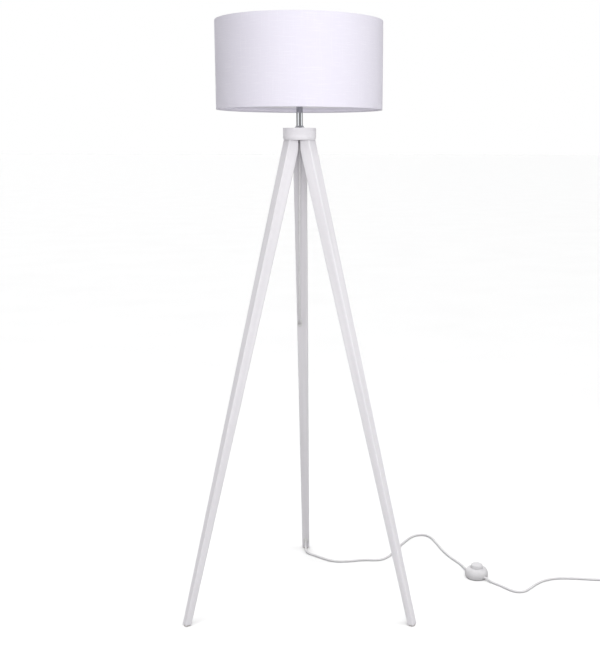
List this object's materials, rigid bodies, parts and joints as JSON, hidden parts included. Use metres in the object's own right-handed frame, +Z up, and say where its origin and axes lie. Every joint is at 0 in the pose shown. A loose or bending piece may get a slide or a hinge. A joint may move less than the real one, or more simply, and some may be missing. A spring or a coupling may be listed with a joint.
{
  "type": "tripod floor lamp",
  "caption": "Floor lamp with a white drum shade on a short chrome stem, a round wooden hub, a tripod of tapered square legs and a mains cord with a foot switch.",
  "frame": {"origin": "on the floor, under the middle of the lamp's own box (cord, foot switch and plug left out); the lamp's axis stands at x 0, y -0.0645 m", "axes": "+Z up; -Y is the front, between the two front legs; the rear leg points to +Y; +X is the right side, where the cord goes"},
  "size_m": [1.2286, 0.6111, 1.455],
  "materials": {
    "painted_wood": "satin white paint over close-grained wood",
    "chrome_plate": "polished",
    "felt_pad": "pressed felt",
    "brass_contact": "bright",
    "plated_steel": "zinc plated",
    "shade_fabric": "plain weave laminated on a stiff liner",
    "white_wire": "white powder coat",
    "white_plastic": "moulded",
    "switch_plastic": "moulded, lightly glossy",
    "plug_plastic": "moulded",
    "tie_plastic": "plastic coated twist tie",
    "ceramic_white": "unglazed steatite",
    "opal_glass": "opal white glass",
    "rubber_mat": "fine grip",
    "cord_sheath": "smooth PVC"
  },
  "bodies": {
    "lamp": {"bulb_cap": "plated_steel", "bulb_globe": "opal_glass", "coil_tie": "tie_plastic", "cord_coil": "cord_sheath", "cord_hanging": "cord_sheath", "cord_in_leg": "cord_sheath", "cord_in_stem": "cord_sheath", "cord_tail": "cord_sheath", "cord_to_coil": "cord_sheath", "cord_to_switch": "cord_sheath", "eyelet_lower": "white_plastic", "eyelet_upper": "white_plastic", "foot_pad_front_left": "felt_pad", "foot_pad_front_right": "felt_pad", "foot_pad_rear": "felt_pad", "holder_contact": "brass_contact", "holder_cup": "white_plastic", "holder_insulator": "ceramic_white", "holder_shell": "brass_contact", "holder_skirt": "white_plastic", "hub_disc": "painted_wood", "hub_gland": "white_plastic", "leg_bolt_front_left": "plated_steel", "leg_bolt_front_right": "plated_steel", "leg_bolt_rear": "plated_steel", "leg_front_left": "painted_wood", "leg_front_right": "painted_wood", "leg_insert_front_left": "brass_contact", "leg_insert_front_right": "brass_contact", "leg_insert_rear": "brass_contact", "leg_rear": "painted_wood", "plug_body": "plug_plastic", "plug_pin_left": "plated_steel", "plug_pin_right": "plated_steel", "plug_relief": "plug_plastic", "rod_nut_lower": "plated_steel", "rod_nut_upper": "plated_steel", "rod_tube": "plated_steel", "rod_washer": "plated_steel", "shade_cover": "shade_fabric", "shade_frame_lower": "white_wire", "shade_nut_lower": "white_plastic", "shade_nut_upper": "white_plastic", "shade_ring_upper": "white_wire", "stem_cap": "chrome_plate", "stem_collar": "chrome_plate", "stem_tube": "chrome_plate", "switch_base": "switch_plastic", "switch_cassette": "ceramic_white", "switch_clamp_in": "switch_plastic", "switch_clamp_out": "switch_plastic", "switch_contact_in": "brass_contact", "switch_contact_out": "brass_contact", "switch_cover": "switch_plastic", "switch_mat": "rubber_mat", "switch_spring": "plated_steel"},
    "button": {"switch_button": "switch_plastic"},
    "rotor": {"switch_rotor": "brass_contact"}
  },
  "joints": [
    {"name": "button_press", "type": "slide", "parent": "lamp", "child": "button", "axis": [0, 0, -1], "range_m": [0, 0.003], "stiffness_N_per_m": 400, "springref_m": -0.004, "deforming": ["switch_spring"]},
    {"name": "rotor_index", "type": "hinge", "parent": "lamp", "child": "rotor", "pos_m": [0.476, 0.0555, 0.006], "axis": [0, 0, 1], "range_deg": [0, 45]}
  ],
  "couplings": [
    {"joint": "rotor_index", "follows": "button_press", "rad_per_m": 261.8}
  ]
}
